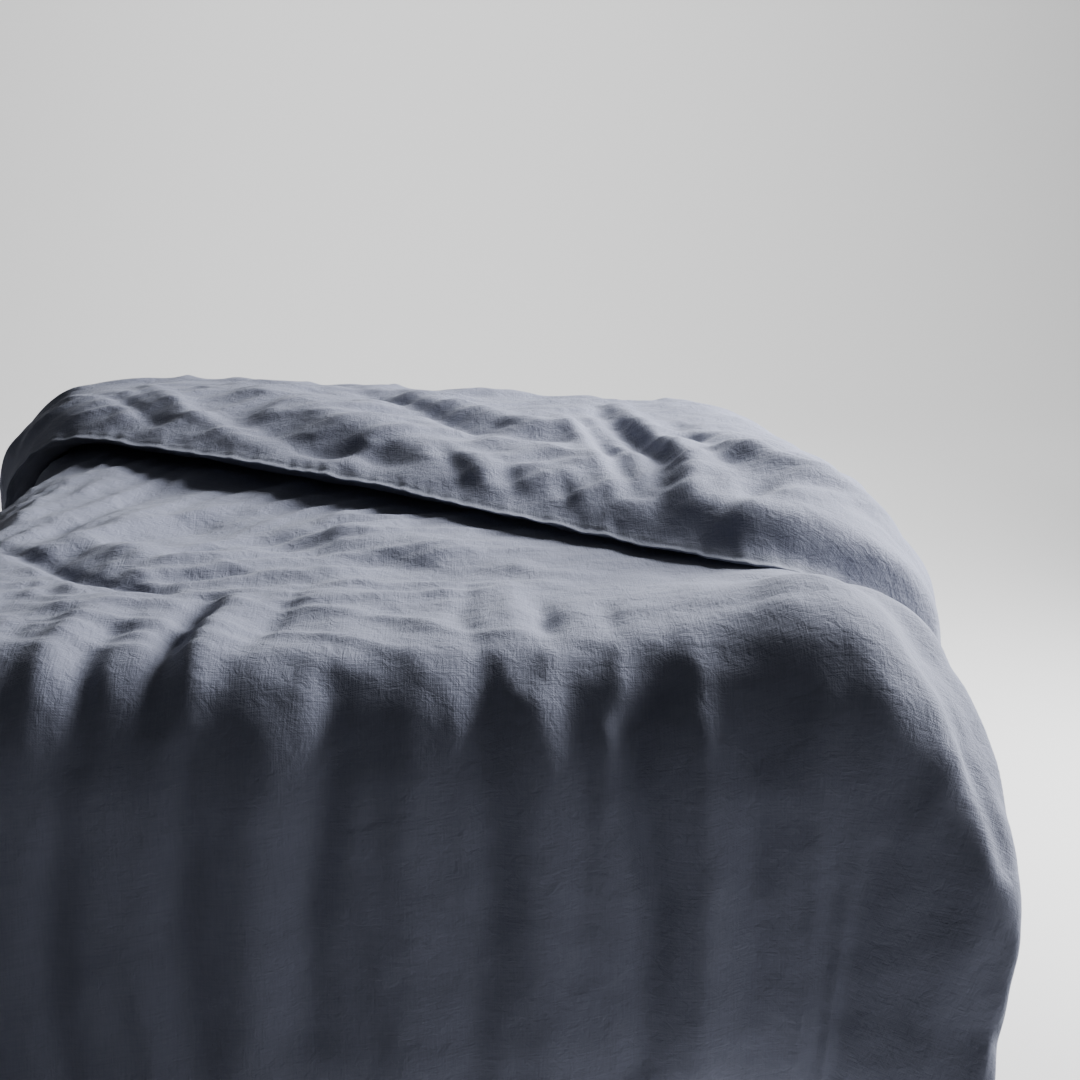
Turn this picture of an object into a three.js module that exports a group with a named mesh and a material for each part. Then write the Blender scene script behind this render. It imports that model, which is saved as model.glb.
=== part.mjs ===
// A duvet in its cover, lying on a bed with its head end turned back.
// Millimetres. +Z is up, +Y runs to the head of the bed, +X is to the right when looking from the foot.
// The origin is on the underside, in the middle of the flat area that rests on the mattress.
import * as THREE from 'three'

// The bed that the duvet is draped over.
const mattressWidth = 900
const mattressEdgeRadius = 70 // bend of the underside where it turns down over a mattress edge
const shoulderTurn = THREE.MathUtils.degToRad(86) // how far the sides and foot turn down from level
const cornerFlare = THREE.MathUtils.degToRad(20) // how much less they turn down at the foot corners

// The cover and its filling.
const coverWidth = 1400
const coverLength = 2000
const loft = 56 // whole thickness, cover included
const coverCloth = 0.8
const shellCloth = 0.6
const clothSpacing = 3 // between the middles of a cover panel and the insert's shell
const fillClearance = 3.6 // between the middle of a shell and the filling
const edgeLoft = 0.5 // share of the loft left at the cover's edges
const edgeTaper = 90 // width over which the loft falls off to an edge
const insertInset = 15 // how much smaller the insert is than the cover, on each side

// How it is spread: lengths along the middle line, and the slant of each line across the bed.
const footDrop = 518
const turnedLength = 440
const foldGap = 4 // between the turned-back part and the part under it
const creaseSlant = 0.3 // the crease is nearer the foot on the right
const footSlant = 0.12 // the foot hem hangs lower on the left
const drawnUp = 0.85 // share by which the right-hand end of the turned-back hem is drawn up the side

// The sewn edges.
const seamGap = 0.4
const edgeWedge = 9 // from the panels' edge to where both cloths lie together
const edgeFlange = 14
const flangeThickness = 2
const placketWidth = 42
const placketCloth = 1.5

// Fastenings and trimmings.
const buttonCount = 5
const buttonDiameter = 18
const buttonThickness = 3
const buttonHoleDiameter = 2
const buttonHoleOffset = 3
const buttonSpan = 0.52 // share of the width that the row of buttons covers
const tieWidth = 9
const tieLength = 60
const tieThickness = 1
const labelWidth = 30
const labelLength = 40
const labelThickness = 0.5

// The filling's cassettes.
const columns = 4
const secondRowDepth = 270 // flat part of the row that turns down at the foot
const thirdRowDepth = 390
const fillInset = 8 // from a cassette seam to the filling
const fillShoulder = 24 // width of the rounded border of each block of filling
const crown = [0.55, 0.85] // shares of a block's thickness at its border and one line further in

const foldHeight = loft + foldGap / 2
const neutralRadius = mattressEdgeRadius + foldHeight // bend at which the cloth keeps its length
const shoulderLength = neutralRadius * shoulderTurn
const flatHalfWidth = mattressWidth / 2 - mattressEdgeRadius
const halfWidth = coverWidth / 2
const foldLength = Math.PI * (loft + foldGap) / 2
const flatLength = coverLength - footDrop - foldLength - turnedLength
const footBend = -flatLength / 2

const creaseY = x => flatLength / 2 - creaseSlant * x
const footHemY = x => footBend - footDrop + footSlant * x
const turnedReach = x => turnedLength + (creaseSlant + footSlant) * Math.min(x, flatHalfWidth)

// Bends a point of the flat, folded duvet over the mattress edges. height is above the mattress.
function drape(x, y, height) {
  const dx = x - THREE.MathUtils.clamp(x, -flatHalfWidth, flatHalfWidth)
  const dy = Math.min(0, y - footBend)
  const overhang = Math.hypot(dx, dy)
  if (overhang === 0) return new THREE.Vector3(x, y, height)
  const corner = (2 * dx * dy / overhang ** 2) ** 2 // 1 on the corner's diagonal, 0 along the sides and foot
  const turn = Math.min(overhang / neutralRadius, shoulderTurn - cornerFlare * corner)
  const fall = overhang - turn * neutralRadius
  const radius = mattressEdgeRadius + height
  const out = radius * Math.sin(turn) + fall * Math.cos(turn)
  const z = radius * Math.cos(turn) - mattressEdgeRadius - fall * Math.sin(turn)
  return new THREE.Vector3(x - dx + dx / overhang * out, y - dy + dy / overhang * out, z)
}

// The turned-back part hangs ever less far down the right-hand side, towards its hem.
function drawUp(x, back) {
  const sideStart = Math.min(flatHalfWidth + shoulderLength, halfWidth)
  if (x < sideStart) return x
  const share = 1 - drawnUp * THREE.MathUtils.clamp(back / turnedReach(halfWidth), 0, 1)
  const hanging = Math.min(x, halfWidth) - sideStart
  return sideStart + hanging * share + Math.max(0, x - halfWidth)
}

// The three stretches of the duvet. Each places a point from x, a coordinate s along its length, and
// its depth above the reverse panel, and gives the distance from s to the nearer hem.
const spread = {
  place: (x, y, depth) => drape(x, y, depth),
  hemDistance: (x, y) => y - footHemY(x),
}
const fold = {
  place: (x, angle, depth) => {
    const radius = foldHeight - depth
    return drape(x, creaseY(x) + radius * Math.sin(angle), foldHeight - radius * Math.cos(angle))
  },
  hemDistance: x => turnedReach(x),
}
const turned = {
  place: (x, back, depth) => drape(drawUp(x, back), creaseY(x) - back, 2 * foldHeight - depth),
  hemDistance: (x, back) => turnedReach(x) - back,
}

// Share of the full loft at a point: the padding thins towards every edge.
function loftShare(stretch, x, s) {
  const inside = Math.min(halfWidth - Math.abs(x), stretch.hemDistance(x, s))
  return THREE.MathUtils.lerp(edgeLoft, 1, THREE.MathUtils.clamp(inside / edgeTaper, 0, 1))
}

// A closed solid between two surfaces given on a grid. Lines along the length may depend on x.
// Each cell is split along the diagonal that runs from the middle of the duvet to its nearer corner.
function gridSolid(xs, lines, lower, upper, hemFirst = true) {
  const wide = xs.length
  const long = lines.length
  const points = []
  for (const surface of [lower, upper]) {
    for (const line of lines) {
      for (const x of xs) points.push(...surface(x, line(x)).toArray())
    }
  }
  const layer = wide * long
  const at = (i, j, side) => side * layer + j * wide + i
  const faces = []
  for (let j = 0; j + 1 < long; j++) {
    for (let i = 0; i + 1 < wide; i++) {
      const ring = [at(i, j, 0), at(i + 1, j, 0), at(i + 1, j + 1, 0), at(i, j + 1, 0)]
      const onLeft = xs[i] + xs[i + 1] < 0
      const [a, b, c, d] = onLeft === hemFirst ? ring : [ring[1], ring[2], ring[3], ring[0]]
      faces.push(a, c, b, a, d, c)
      faces.push(a + layer, b + layer, c + layer, a + layer, c + layer, d + layer)
    }
  }
  const wall = (p, q) => faces.push(p, q, q + layer, p, q + layer, p + layer)
  for (let i = 0; i + 1 < wide; i++) {
    wall(at(i, 0, 0), at(i + 1, 0, 0))
    wall(at(i + 1, long - 1, 0), at(i, long - 1, 0))
  }
  for (let j = 0; j + 1 < long; j++) {
    wall(at(0, j + 1, 0), at(0, j, 0))
    wall(at(wide - 1, j, 0), at(wide - 1, j + 1, 0))
  }
  const geometry = new THREE.BufferGeometry()
  geometry.setAttribute('position', new THREE.Float32BufferAttribute(points, 3))
  geometry.setIndex(faces)
  if (signedVolume(geometry) < 0) flipFaces(geometry)
  geometry.computeVertexNormals()
  return geometry
}

function signedVolume(geometry) {
  const [a, b, c] = [new THREE.Vector3(), new THREE.Vector3(), new THREE.Vector3()]
  const index = geometry.index.array
  let sum = 0
  for (let i = 0; i < index.length; i += 3) {
    a.fromBufferAttribute(geometry.attributes.position, index[i])
    b.fromBufferAttribute(geometry.attributes.position, index[i + 1])
    c.fromBufferAttribute(geometry.attributes.position, index[i + 2])
    sum += a.dot(b.cross(c))
  }
  return sum / 6
}

function flipFaces(geometry) {
  const index = geometry.index.array
  for (let i = 0; i < index.length; i += 3) [index[i], index[i + 1]] = [index[i + 1], index[i]]
}

// Grid lines across the bed, close together where the sides turn down.
const shoulderShares = [0, 0.2, 0.4, 0.6, 0.8, 1]

const shortestStep = 10

// inset is how far inside the cover's edge the grid stops. Every layer shares the lines it reaches.
function linesAcross(inset) {
  const edges = [halfWidth - edgeTaper, halfWidth - insertInset, halfWidth - inset]
  const shoulder = shoulderShares
    .map(share => flatHalfWidth + shoulderLength * share)
    .filter(x => edges.every(edge => Math.abs(x - edge) > shortestStep))
  const side = [...new Set([...shoulder, ...edges])].sort((a, b) => a - b)
  const reached = side.filter(x => x <= halfWidth - inset)
  return [...reached.map(x => -x).reverse(), ...reached]
}

// Grid lines along the spread part, from its foot hem to the crease.
const shoulderEnd = footBend - shoulderLength

const taperLine = x => footHemY(x) + edgeTaper
const fallLine = share => x => THREE.MathUtils.lerp(shoulderEnd, taperLine(x), share)

// The line along a hem where the insert ends, for a layer that goes on past it.
const insertEnd = (inset, line) => inset < insertInset ? [line] : []

function linesAlongSpread(inset) {
  return [
    x => footHemY(x) + inset,
    ...insertEnd(inset, x => footHemY(x) + insertInset),
    taperLine,
    fallLine(0.67),
    fallLine(0.33),
    ...[...shoulderShares].reverse().map(share => () => footBend - shoulderLength * share),
    x => THREE.MathUtils.lerp(footBend, creaseY(x), 0.5),
    x => creaseY(x) - seamGap,
  ]
}

const foldSteps = 6
const linesAroundFold = Array.from({ length: foldSteps + 1 }, (_, i) => () => Math.PI * i / foldSteps)
const turnedTaperLine = x => turnedReach(x) - edgeTaper
const turnedInnerLines = [0.25, 0.5, 0.75, 1].map(share => x => turnedTaperLine(x) * share)

function linesAlongTurned(inset) {
  const end = insertEnd(inset, x => turnedReach(x) - insertInset)
  return [() => seamGap, ...turnedInnerLines, ...end, x => turnedReach(x) - inset]
}

const coverColour = '#7a8393'
const washedCotton = { color: coverColour, roughness: 0.9 }
const downproofCotton = { color: '#e9e7e1', roughness: 0.85 }
const downFill = { color: '#f3f1ea', roughness: 1 }
const shellButton = { color: '#8b909a', roughness: 0.35 }
const tapeCotton = { color: '#9aa1ad', roughness: 0.9 }
const labelSatin = { color: '#dcdad4', roughness: 0.6 }

const group = new THREE.Group()
group.name = 'duvet'

function add(name, geometry, look) {
  const mesh = new THREE.Mesh(geometry, new THREE.MeshStandardMaterial({ ...look, metalness: 0 }))
  mesh.name = name
  group.add(mesh)
  return mesh
}

// One cloth of the cover or the insert, in one stretch of the duvet. middle is the depth of its middle.
function cloth(stretch, xs, lines, middle, thickness) {
  const face = side => (x, s) => {
    const depth = loft / 2 + (middle - loft / 2) * loftShare(stretch, x, s)
    return stretch.place(x, s, depth + side * thickness / 2)
  }
  return gridSolid(xs, lines, face(-1), face(1), stretch === spread)
}

const reverseMiddle = coverCloth / 2
const lowerShellMiddle = reverseMiddle + clothSpacing
const fillBottom = lowerShellMiddle + fillClearance
const faceMiddle = loft - reverseMiddle
const upperShellMiddle = loft - lowerShellMiddle

const stretches = [
  { suffix: '', stretch: spread, lines: linesAlongSpread },
  { suffix: '_at_fold', stretch: fold, lines: () => linesAroundFold },
  { suffix: '_turned_back', stretch: turned, lines: linesAlongTurned },
]

function addCloths() {
  for (const { suffix, stretch, lines } of stretches) {
    const coverXs = linesAcross(0)
    add('cover_face' + suffix, cloth(stretch, coverXs, lines(0), faceMiddle, coverCloth), washedCotton)
    add('cover_reverse' + suffix, cloth(stretch, coverXs, lines(0), reverseMiddle, coverCloth), washedCotton)
    const insertXs = linesAcross(insertInset)
    const insertLines = lines(insertInset)
    const upper = cloth(stretch, insertXs, insertLines, upperShellMiddle, shellCloth)
    const lower = cloth(stretch, insertXs, insertLines, lowerShellMiddle, shellCloth)
    add('insert_upper_shell' + suffix, upper, downproofCotton)
    add('insert_lower_shell' + suffix, lower, downproofCotton)
  }
}

// Grid positions of one block of filling between two limits: a rounded border, and the lines in between.
function blockXs(low, high) {
  const inner = linesAcross(0).filter(x => x > low + 2 * fillShoulder && x < high - 2 * fillShoulder)
  const [start, end] = [low + fillInset, high - fillInset]
  const middle = inner.length ? inner : [(start + end) / 2]
  return [start, start + fillShoulder, ...middle, end - fillShoulder, end]
}

// The share of full thickness at the given place in a list: it rises from both ends.
function crownShare(list, place) {
  const fromEnd = Math.min(place, list.length - 1 - place)
  return crown[fromEnd] ?? 1
}

// One block of filling, thinner towards its sides, and towards its ends where they are rounded.
function fillBlock(stretch, xs, lines, roundedEnds) {
  const half = loft / 2 - fillBottom
  const face = side => (x, s) => {
    const across = crownShare(xs, xs.indexOf(x))
    const along = roundedEnds ? crownShare(lines, lines.findIndex(line => line(x) === s)) : 1
    const share = loftShare(stretch, x, s) * Math.min(across, along)
    return stretch.place(x, s, loft / 2 + side * half * share)
  }
  return gridSolid(xs, lines, face(-1), face(1), stretch === spread)
}

function insetLines(low, inner, high) {
  const middle = inner.length ? inner : [x => (low(x) + high(x)) / 2]
  return [
    x => low(x) + fillInset,
    x => low(x) + fillInset + fillShoulder,
    ...middle,
    x => high(x) - fillInset - fillShoulder,
    x => high(x) - fillInset,
  ]
}

const foldEnd = fillInset / 4

function fillRows() {
  const hem = x => footHemY(x) + insertInset
  const bendLines = shoulderShares.slice(0, -1).reverse().map(share => () => footBend - shoulderLength * share)
  const second = () => footBend + secondRowDepth
  const third = () => footBend + secondRowDepth + thirdRowDepth
  return [
    insetLines(hem, [taperLine, fallLine(0.67), fallLine(0.33)], () => shoulderEnd),
    insetLines(() => shoulderEnd, bendLines.slice(1), second),
    insetLines(second, [], third),
    insetLines(third, [], x => creaseY(x) - foldEnd),
  ]
}

function addFilling() {
  const insertHalf = halfWidth - insertInset
  const columnWidth = 2 * insertHalf / columns
  const rows = fillRows()
  for (let column = 0; column < columns; column++) {
    const low = -insertHalf + column * columnWidth
    const xs = blockXs(low, low + columnWidth)
    const place = '_column_' + (column + 1)
    rows.forEach((lines, row) => {
      add('fill_row_' + (row + 1) + place, fillBlock(spread, xs, lines, true), downFill)
    })
    add('fill_at_fold' + place, fillBlock(fold, xs, linesAroundFold, false), downFill)
    const innerLines = low < 0 ? [turnedTaperLine] : turnedInnerLines
    const back = insetLines(() => foldEnd, innerLines, x => turnedReach(x) - insertInset)
    add('fill_turned_back' + place, fillBlock(turned, xs, back, true), downFill)
  }
}

// The sewn edge: a wedge that closes the cover's edge, then a flat flange.
const edgeProfile = [
  { out: seamGap, half: loft * edgeLoft / 2 },
  { out: edgeWedge, half: flangeThickness },
  { out: edgeWedge + 2, half: flangeThickness / 2 },
  { out: edgeWedge + edgeFlange, half: flangeThickness / 2 },
]

function edgeHalf(out) {
  return edgeProfile.find(step => Math.abs(step.out - out) < 1e-6).half
}

function sideEdge(stretch, side, lines) {
  const xs = edgeProfile.map(step => side * (halfWidth + step.out))
  const face = sign => (x, s) => {
    return stretch.place(x, s, loft / 2 + sign * edgeHalf(Math.abs(x) - halfWidth))
  }
  return gridSolid(xs, lines, face(-1), face(1))
}

function hemEdge(stretch, lineAt) {
  const lines = edgeProfile.map(step => x => lineAt(x, step.out))
  const face = sign => (x, s) => {
    const step = edgeProfile.find(each => Math.abs(lineAt(x, each.out) - s) < 1e-6)
    return stretch.place(x, s, loft / 2 + sign * step.half)
  }
  return gridSolid(linesAcross(0), lines, face(-1), face(1))
}

// The fold and the turned-back part share one side edge, so this stretch runs round the one into the other.
const foldThenTurned = {
  place: (x, s, depth) => s < 0 ? fold.place(x, Math.PI + s, depth) : turned.place(x, s, depth),
}

function addEdges() {
  const spreadLines = linesAlongSpread(-edgeWedge - edgeFlange)
  const roundFold = linesAroundFold.map(line => x => line(x) - Math.PI)
  const reach = edgeWedge + edgeFlange
  const turnedLines = [...roundFold, x => turnedReach(x) / 2, x => turnedReach(x), x => turnedReach(x) + reach]
  for (const [name, side] of [['left', -1], ['right', 1]]) {
    add('sewn_edge_' + name, sideEdge(spread, side, spreadLines), washedCotton)
    const turnedEdge = sideEdge(foldThenTurned, side, turnedLines)
    add('sewn_edge_' + name + '_turned_back', turnedEdge, washedCotton)
  }
  const headLine = (x, out) => turnedReach(x) + out
  add('sewn_edge_head', hemEdge(turned, headLine), washedCotton)
}

// The foot closure: two doubled hems, one on the other. side is -1 for the one on the reverse.
const placketProfile = [
  { out: seamGap, middle: loft * edgeLoft / 2 - placketCloth / 2 },
  { out: edgeWedge, middle: placketCloth / 2 + seamGap },
  { out: placketWidth, middle: placketCloth / 2 + seamGap },
]

function placket(side) {
  const lines = placketProfile.map(step => x => footHemY(x) - step.out)
  const face = sign => (x, y) => {
    const step = placketProfile.find(each => Math.abs(footHemY(x) - each.out - y) < 1e-6)
    return spread.place(x, y, loft / 2 + side * step.middle + sign * placketCloth / 2)
  }
  return gridSolid(linesAcross(seamGap), lines, face(-1), face(1))
}

function buttonGeometry() {
  const disc = new THREE.Shape().absarc(0, 0, buttonDiameter / 2, 0, 2 * Math.PI)
  for (const [across, along] of [[1, 1], [1, -1], [-1, 1], [-1, -1]]) {
    const hole = new THREE.Path()
    const [hx, hy] = [across * buttonHoleOffset / 2, along * buttonHoleOffset / 2]
    hole.absarc(hx, hy, buttonHoleDiameter / 2, 0, 2 * Math.PI, true)
    disc.holes.push(hole)
  }
  return new THREE.ExtrudeGeometry(disc, { depth: buttonThickness, bevelEnabled: false, curveSegments: 8 })
}

function addClosure() {
  add('foot_hem_face_side', placket(1), washedCotton)
  add('foot_hem_reverse_side', placket(-1), washedCotton)
  const under = loft / 2 - seamGap - placketCloth
  for (let i = 0; i < buttonCount; i++) {
    const x = coverWidth * buttonSpan * (i / (buttonCount - 1) - 0.5)
    const y = footHemY(x) - (edgeWedge + placketWidth) / 2
    const button = add('button_' + (i + 1), buttonGeometry(), shellButton)
    const base = spread.place(x, y, under - seamGap)
    const outer = spread.place(x, y, under - seamGap - buttonThickness)
    button.position.copy(base)
    button.quaternion.setFromUnitVectors(new THREE.Vector3(0, 0, 1), outer.sub(base).normalize())
  }
}

// A ribbon in each corner of the cover, beside the insert, that ties the insert in place.
function addTies() {
  const span = (stretch, side, lines) => {
    const xs = [halfWidth - insertInset + 2, halfWidth - insertInset + 2 + tieWidth].map(x => side * x)
    const face = sign => (x, s) => stretch.place(x, s, loft / 2 + sign * tieThickness / 2)
    return gridSolid(xs, lines, face(-1), face(1))
  }
  const steps = [0, 0.33, 0.66, 1]
  const footLines = steps.map(share => x => footHemY(x) + insertInset + tieLength * share)
  const headLines = steps.map(share => x => turnedReach(x) - insertInset - tieLength * share)
  for (const [name, side] of [['left', -1], ['right', 1]]) {
    add('corner_tie_foot_' + name, span(spread, side, footLines), tapeCotton)
    add('corner_tie_head_' + name, span(turned, side, headLines), tapeCotton)
  }
}

// A blank label under the left-hand edge's flange.
function addLabel() {
  const xs = [edgeWedge + 3, edgeWedge + 3 + labelLength].map(out => -halfWidth - out)
  const lines = [() => 0, () => labelWidth]
  const middle = loft / 2 - flangeThickness / 2 - seamGap - labelThickness / 2
  const face = sign => (x, y) => spread.place(x, y, middle + sign * labelThickness / 2)
  add('care_label', gridSolid(xs, lines, face(-1), face(1)), labelSatin)
}

addCloths()
addFilling()
addEdges()
addClosure()
addTies()
addLabel()

export default group
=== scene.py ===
import math

import bmesh
import bpy
import numpy as np
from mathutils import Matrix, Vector, noise


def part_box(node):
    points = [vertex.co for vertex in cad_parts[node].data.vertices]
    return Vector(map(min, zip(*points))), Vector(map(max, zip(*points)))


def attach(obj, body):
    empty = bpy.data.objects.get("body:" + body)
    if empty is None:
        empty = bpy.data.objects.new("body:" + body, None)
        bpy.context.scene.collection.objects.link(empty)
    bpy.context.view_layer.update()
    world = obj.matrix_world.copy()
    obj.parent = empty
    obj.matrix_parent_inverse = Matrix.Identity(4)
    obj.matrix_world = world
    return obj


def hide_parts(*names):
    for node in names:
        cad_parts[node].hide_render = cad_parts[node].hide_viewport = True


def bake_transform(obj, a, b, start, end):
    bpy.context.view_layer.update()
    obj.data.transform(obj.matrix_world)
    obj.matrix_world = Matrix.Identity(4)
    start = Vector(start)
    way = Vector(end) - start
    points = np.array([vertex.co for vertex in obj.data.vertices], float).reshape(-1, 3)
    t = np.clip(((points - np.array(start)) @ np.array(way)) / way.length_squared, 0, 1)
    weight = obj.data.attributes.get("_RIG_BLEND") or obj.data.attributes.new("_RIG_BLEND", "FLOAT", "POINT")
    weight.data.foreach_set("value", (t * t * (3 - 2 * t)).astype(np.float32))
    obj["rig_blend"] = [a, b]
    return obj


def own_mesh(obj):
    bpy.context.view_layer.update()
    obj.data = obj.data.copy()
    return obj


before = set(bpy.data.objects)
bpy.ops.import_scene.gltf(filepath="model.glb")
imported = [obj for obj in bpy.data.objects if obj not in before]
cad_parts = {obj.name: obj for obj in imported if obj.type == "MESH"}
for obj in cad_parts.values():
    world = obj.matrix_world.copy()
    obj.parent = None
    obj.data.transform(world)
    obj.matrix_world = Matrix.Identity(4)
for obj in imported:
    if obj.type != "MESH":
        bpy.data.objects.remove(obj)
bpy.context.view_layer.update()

# The duvet's sizes, in metres, as its frame gives them. +Y runs to the head of the bed.
COVER_WIDTH = 1.400
COVER_LENGTH = 2.000
LOFT = 0.056
FOLD_GAP = 0.004
FOOT_DROP = 0.518
TURNED_LENGTH = 0.440
MATTRESS_EDGE = 0.070
FLAT_HALF_WIDTH = 0.380
SHOULDER_TURN = math.radians(86)
CORNER_FLARE = math.radians(20)
CREASE_SLANT = 0.30
FOOT_SLANT = 0.12
DRAWN_UP = 0.85
PULLED_OUT = 0.030
FOLD_HEIGHT = LOFT + FOLD_GAP / 2
NEUTRAL_RADIUS = MATTRESS_EDGE + FOLD_HEIGHT
SHOULDER_LENGTH = NEUTRAL_RADIUS * SHOULDER_TURN
HALF_WIDTH = COVER_WIDTH / 2
FOLD_LENGTH = math.pi * (LOFT + FOLD_GAP) / 2
FLAT_LENGTH = COVER_LENGTH - FOOT_DROP - FOLD_LENGTH - TURNED_LENGTH
FOOT_BEND = -FLAT_LENGTH / 2

# How the padding ends at the sewn edges: it thins over EDGE_TAPER to a share of the loft, then
# closes in a short wedge to the flat, sewn flange or to the foot hem.
EDGE_LOFT = 0.18
EDGE_TAPER = 0.100
EDGE_WEDGE = 0.009
EDGE_FLANGE = 0.014
FLANGE_HALF = 0.0011
HEM_HALF = 0.0021
PLACKET_WIDTH = 0.042
LYING_DEPTH = 0.019  # how far the turned-back hem sinks into the padding it lies on


def smooth(t):
    """Rises softly from 0 to 1 as t does."""
    t = np.clip(t, 0, 1)
    return t * t * (3 - 2 * t)


def crease_y(x):
    """Where the duvet turns back on itself: a slanted line across the bed."""
    return FLAT_LENGTH / 2 - CREASE_SLANT * x


def foot_hem_y(x):
    """The foot hem, on the flat cloth. It hangs a little askew."""
    return FOOT_BEND - FOOT_DROP + FOOT_SLANT * x


def turned_reach(x):
    """How far the turned-back part comes from the crease: a little further on the right."""
    slack = PULLED_OUT * smooth((x - 0.16) / 0.24)
    return TURNED_LENGTH + (CREASE_SLANT + FOOT_SLANT) * np.minimum(x, FLAT_HALF_WIDTH) + slack


def draw_up(x, back):
    """The turned-back part hangs ever less far down the right-hand side, towards its hem."""
    start = FLAT_HALF_WIDTH + SHOULDER_LENGTH
    share = 1 - DRAWN_UP * np.clip(back / turned_reach(HALF_WIDTH), 0, 1)
    side = np.minimum(x, HALF_WIDTH)
    return np.where(x < start, x, start + (side - start) * share + x - side)


def drape(x, y, height):
    """Bends points of the flat, folded duvet over the mattress edges."""
    dx = x - np.clip(x, -FLAT_HALF_WIDTH, FLAT_HALF_WIDTH)
    dy = np.minimum(0, y - FOOT_BEND)
    overhang = np.maximum(np.hypot(dx, dy), 1e-9)
    # 1 on a foot corner's diagonal, 0 on the straight sides
    corner = (2 * dx * dy / overhang ** 2) ** 2
    turn = np.minimum(overhang / NEUTRAL_RADIUS, SHOULDER_TURN - CORNER_FLARE * corner)
    fall = overhang - turn * NEUTRAL_RADIUS
    radius = MATTRESS_EDGE + height
    out = radius * np.sin(turn) + fall * np.cos(turn)
    z = radius * np.cos(turn) - MATTRESS_EDGE - fall * np.sin(turn)
    return np.stack([x - dx + dx / overhang * out, y - dy + dy / overhang * out, z], axis=-1)


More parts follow.
